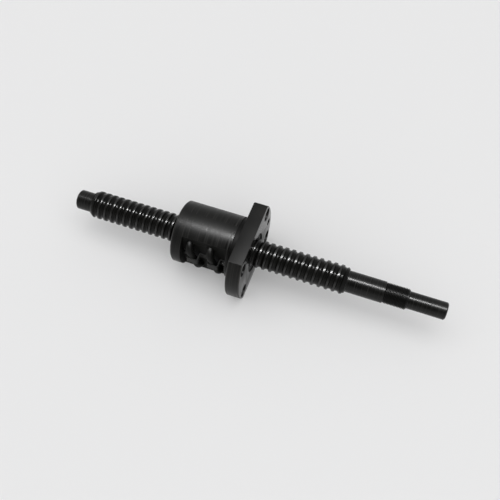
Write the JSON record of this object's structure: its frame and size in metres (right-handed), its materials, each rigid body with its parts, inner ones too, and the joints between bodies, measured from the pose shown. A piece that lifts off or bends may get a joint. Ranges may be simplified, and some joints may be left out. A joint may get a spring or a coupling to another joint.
{
  "type": "ball screw",
  "caption": "Short black ball screw with a flanged ball nut, outside return tubes in a milled pocket and stepped shaft ends for bearings, a lock nut and a coupling.",
  "frame": {"origin": "centre of the flange's mounting face, the face towards the nut's body, on the screw's axis", "axes": "+X along the screw towards the drive end, +Y across the flange's round sides, +Z out of the flange's upper flat; the tube pocket faces -Y"},
  "size_m": [0.269, 0.067, 0.044],
  "materials": {
    "screw_steel": "black oxide, satin",
    "nut_steel": "black oxide, satin",
    "tube_steel": "black oxide, satin",
    "fastener_steel": "black oxide, matt",
    "ball_steel": "polished",
    "wiper_plastic": "matt"
  },
  "bodies": {
    "screw": {"screw_shaft": "screw_steel"},
    "wipers": {"rear_wiper": "wiper_plastic", "front_wiper": "wiper_plastic"},
    "nut": {"nut_body": "nut_steel", "rear_wiper_screw": "fastener_steel", "front_wiper_screw": "fastener_steel", "rear_return_tube": "tube_steel", "front_return_tube": "tube_steel", "tube_clamp": "tube_steel", "rear_clamp_screw": "fastener_steel", "front_clamp_screw": "fastener_steel", "rear_loaded_balls": "ball_steel", "rear_return_balls": "ball_steel", "front_loaded_balls": "ball_steel", "front_return_balls": "ball_steel"}
  },
  "joints": [
    {"name": "nut_travel", "type": "slide", "parent": "screw", "child": "wipers", "axis": [1, 0, 0], "range_m": [-0.065, 0.06]},
    {"name": "nut_turn", "type": "hinge", "parent": "wipers", "child": "nut", "pos_m": [0, 0, 0], "axis": [1, 0, 0], "range_deg": [-4320, 4680]}
  ],
  "couplings": [
    {"joint": "nut_travel", "follows": "nut_turn", "m_per_rad": -0.00079577}
  ]
}
